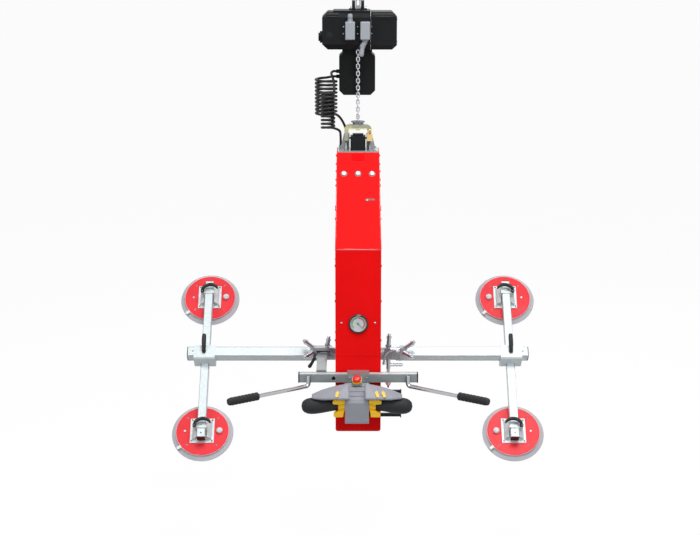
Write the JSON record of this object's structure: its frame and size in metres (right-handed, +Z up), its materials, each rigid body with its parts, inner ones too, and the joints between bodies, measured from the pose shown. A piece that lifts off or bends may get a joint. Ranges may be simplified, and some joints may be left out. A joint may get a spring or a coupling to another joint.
{
  "type": "vacuum glass panel lifter",
  "caption": "Vacuum lifter for glass panels, hung from an electric chain hoist, with a red body, handlebars, pendant control and a tilting frame of suction cups.",
  "frame": {"origin": "centre of the hanging bore in the suspension eye", "axes": "+Z up, +X to the right of the operator, +Y from the operator towards the pane"},
  "size_m": [1.816, 1.1239, 2.2305],
  "materials": {
    "forged_steel": "dark forged steel",
    "hoist_black": "black powder coat on cast aluminium",
    "container_black": "black moulded plastic",
    "hood_grey": "grey painted die-cast",
    "cable_black": "black cable sheath",
    "chain_steel": "zinc plated",
    "yellow_zinc": "yellow passivated zinc",
    "brass": "plain brass",
    "box_black": "black moulded plastic",
    "bracket_grey": "grey metallic paint",
    "body_red": "glossy red powder coat",
    "lamp_white": "clear white lenses",
    "gauge_black": "black case",
    "grip_rubber": "black rubber",
    "bar_chrome": "bright chrome",
    "nickel_plate": "nickel plated brass fittings",
    "yellow_plastic": "yellow plastic",
    "stop_red": "red plastic",
    "pendant_grey": "grey moulded plastic",
    "lever_black": "black plastic",
    "pump_aluminium": "plain cast",
    "zinc_steel": "bright zinc plated",
    "cup_red": "red paint",
    "lip_rubber": "light grey rubber"
  },
  "bodies": {
    "hoist": {"suspension_eye": "forged_steel", "hoist_housing": "hoist_black", "hoist_end_cover": "hoist_black", "chain_container": "container_black", "plug_hoods": "hood_grey", "coil_cable_rear": "cable_black", "coil_cable_front": "cable_black"},
    "load_wheel": {"load_wheel": "forged_steel"},
    "load": {"load_chain": "chain_steel", "swivel_collar": "forged_steel", "bail": "yellow_zinc", "bail_lock": "brass", "load_sensor": "box_black", "head_bracket": "bracket_grey", "body_housing": "body_red", "lower_cover": "body_red", "indicator_lamps": "lamp_white", "vacuum_gauge": "gauge_black", "tilt_bearings": "bracket_grey", "handle_tube": "bracket_grey", "centre_bracket": "bracket_grey", "dark_fittings": "grip_rubber", "handlebars": "bar_chrome", "stop_base": "yellow_plastic", "pendant_shell": "pendant_grey", "pendant_grips": "grip_rubber", "hose_couplings": "nickel_plate", "vacuum_unit": "pump_aluminium"},
    "gauge_needle": {"gauge_needle": "gauge_black"},
    "stop_button": {"stop_button": "stop_red"},
    "paddle_left": {"paddle_left": "yellow_plastic"},
    "paddle_right": {"paddle_right": "yellow_plastic"},
    "button_left": {"button_left": "yellow_plastic"},
    "button_inner": {"button_inner": "yellow_plastic"},
    "button_outer": {"button_outer": "yellow_plastic"},
    "tilt_lock_lever": {"tilt_lock_lever": "lever_black"},
    "frame": {"beam": "zinc_steel", "beam_caps": "lever_black"},
    "carriage_left": {"carriage_left": "zinc_steel", "arm_left": "zinc_steel"},
    "carriage_right": {"carriage_right": "zinc_steel", "arm_right": "zinc_steel"},
    "clamp_lever_left": {"clamp_lever_left": "lever_black"},
    "clamp_lever_right": {"clamp_lever_right": "lever_black"},
    "cup_upper_left": {"disc_upper_left": "cup_red", "lip_upper_left": "lip_rubber", "bracket_upper_left": "zinc_steel"},
    "lever_upper_left": {"lever_upper_left": "lever_black"},
    "cup_upper_right": {"disc_upper_right": "cup_red", "lip_upper_right": "lip_rubber", "bracket_upper_right": "zinc_steel"},
    "lever_upper_right": {"lever_upper_right": "lever_black"},
    "cup_lower_left": {"disc_lower_left": "cup_red", "lip_lower_left": "lip_rubber", "bracket_lower_left": "zinc_steel"},
    "lever_lower_left": {"lever_lower_left": "lever_black"},
    "cup_lower_right": {"disc_lower_right": "cup_red", "lip_lower_right": "lip_rubber", "bracket_lower_right": "zinc_steel"},
    "lever_lower_right": {"lever_lower_right": "lever_black"}
  },
  "joints": [
    {"name": "lift", "type": "slide", "parent": "hoist", "child": "load", "axis": [0, 0, 1], "range_m": [-0.06, 0.06], "deforming": ["coil_cable_rear", "coil_cable_front"]},
    {"name": "load_wheel_spin", "type": "hinge", "parent": "hoist", "child": "load_wheel", "pos_m": [0, 0.03285, -0.165], "axis": [1, 0, 0], "range_deg": [-110, 110]},
    {"name": "gauge_needle_turn", "type": "hinge", "parent": "load", "child": "gauge_needle", "pos_m": [0, -0.423, -1.504], "axis": [0, -1, 0], "range_deg": [0, 270]},
    {"name": "stop_press", "type": "slide", "parent": "load", "child": "stop_button", "axis": [0, -0.6428, 0.766], "range_m": [-0.004, 0], "stiffness_N_per_m": 900, "springref_m": 0.001},
    {"name": "paddle_left_tilt", "type": "hinge", "parent": "load", "child": "paddle_left", "pos_m": [-0.078, -0.544, -1.861], "axis": [1, 0, 0], "range_deg": [-12, 12], "stiffness_Nm_per_rad": 2},
    {"name": "paddle_right_tilt", "type": "hinge", "parent": "load", "child": "paddle_right", "pos_m": [0.066, -0.544, -1.861], "axis": [1, 0, 0], "range_deg": [-12, 12], "stiffness_Nm_per_rad": 2},
    {"name": "button_left_press", "type": "slide", "parent": "load", "child": "button_left", "axis": [0, -0.7771, 0.6293], "range_m": [-0.002, 0], "stiffness_N_per_m": 400, "springref_m": 0.0005},
    {"name": "button_inner_press", "type": "slide", "parent": "load", "child": "button_inner", "axis": [0, -0.7771, 0.6293], "range_m": [-0.002, 0], "stiffness_N_per_m": 400, "springref_m": 0.0005},
    {"name": "button_outer_press", "type": "slide", "parent": "load", "child": "button_outer", "axis": [0, -0.7771, 0.6293], "range_m": [-0.002, 0], "stiffness_N_per_m": 400, "springref_m": 0.0005},
    {"name": "tilt_lock_swing", "type": "hinge", "parent": "load", "child": "tilt_lock_lever", "pos_m": [-0.2063, -0.151, -1.747], "axis": [1, 0, 0], "range_deg": [-40, 40]},
    {"name": "tilt", "type": "hinge", "parent": "load", "child": "frame", "pos_m": [0, -0.073, -1.747], "axis": [1, 0, 0], "range_deg": [-5, 45]},
    {"name": "carriage_left_slide", "type": "slide", "parent": "frame", "child": "carriage_left", "axis": [1, 0, 0], "range_m": [0, 0.4]},
    {"name": "carriage_right_slide", "type": "slide", "parent": "frame", "child": "carriage_right", "axis": [1, 0, 0], "range_m": [-0.4, 0]},
    {"name": "clamp_lever_left_turn", "type": "hinge", "parent": "carriage_left", "child": "clamp_lever_left", "pos_m": [-0.76, -0.09775, -1.72791], "axis": [0, -0.7071, 0.7071], "range_deg": [-60, 60]},
    {"name": "clamp_lever_right_turn", "type": "hinge", "parent": "carriage_right", "child": "clamp_lever_right", "pos_m": [0.756, -0.09775, -1.72791], "axis": [0, -0.7071, 0.7071], "range_deg": [-60, 60]},
    {"name": "cup_upper_left_slide", "type": "slide", "parent": "carriage_left", "child": "cup_upper_left", "axis": [0, 0.7071, 0.7071], "range_m": [-0.2, 0]},
    {"name": "cup_lever_upper_left_turn", "type": "hinge", "parent": "cup_upper_left", "child": "lever_upper_left", "pos_m": [-0.7903, 0.20659, -1.49626], "axis": [0, -0.7071, 0.7071], "range_deg": [0, 60]},
    {"name": "cup_upper_right_slide", "type": "slide", "parent": "carriage_right", "child": "cup_upper_right", "axis": [0, 0.7071, 0.7071], "range_m": [-0.2, 0]},
    {"name": "cup_lever_upper_right_turn", "type": "hinge", "parent": "cup_upper_right", "child": "lever_upper_right", "pos_m": [0.7903, 0.20659, -1.49626], "axis": [0, -0.7071, 0.7071], "range_deg": [-60, 0]},
    {"name": "cup_lower_left_slide", "type": "slide", "parent": "carriage_left", "child": "cup_lower_left", "axis": [0, 0.7071, 0.7071], "range_m": [0, 0.2]},
    {"name": "cup_lever_lower_left_turn", "type": "hinge", "parent": "cup_lower_left", "child": "lever_lower_left", "pos_m": [-0.7903, -0.33222, -2.03507], "axis": [0, -0.7071, 0.7071], "range_deg": [0, 60]},
    {"name": "cup_lower_right_slide", "type": "slide", "parent": "carriage_right", "child": "cup_lower_right", "axis": [0, 0.7071, 0.7071], "range_m": [0, 0.2]},
    {"name": "cup_lever_lower_right_turn", "type": "hinge", "parent": "cup_lower_right", "child": "lever_lower_right", "pos_m": [0.7903, -0.33222, -2.03507], "axis": [0, -0.7071, 0.7071], "range_deg": [-60, 0]}
  ],
  "couplings": [
    {"joint": "load_wheel_spin", "follows": "lift", "rad_per_m": -30.44}
  ]
}
